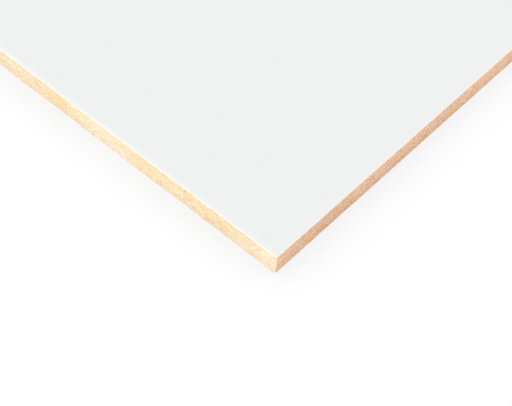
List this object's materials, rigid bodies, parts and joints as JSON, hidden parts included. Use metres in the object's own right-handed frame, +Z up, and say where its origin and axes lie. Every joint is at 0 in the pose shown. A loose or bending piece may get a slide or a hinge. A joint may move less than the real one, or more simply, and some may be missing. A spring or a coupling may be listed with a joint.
{
  "type": "melamine faced mdf sheet",
  "caption": "Flat rectangular panel stock: a tan fibreboard core with bare sawn edges, faced on both sides with thin white melamine, for cutting into furniture and shelving.",
  "frame": {"origin": "centre of the underside of the sheet, which lies flat on the floor", "axes": "+X along the sheet's length, +Y across its width, +Z up out of the face that the picture shows"},
  "size_m": [2.44, 1.22, 0.018],
  "materials": {
    "mdf_core": "matte",
    "white_melamine": "satin"
  },
  "bodies": {
    "root": {"mdf_core": "mdf_core", "top_melamine_face": "white_melamine", "bottom_melamine_face": "white_melamine"}
  },
  "joints": []
}
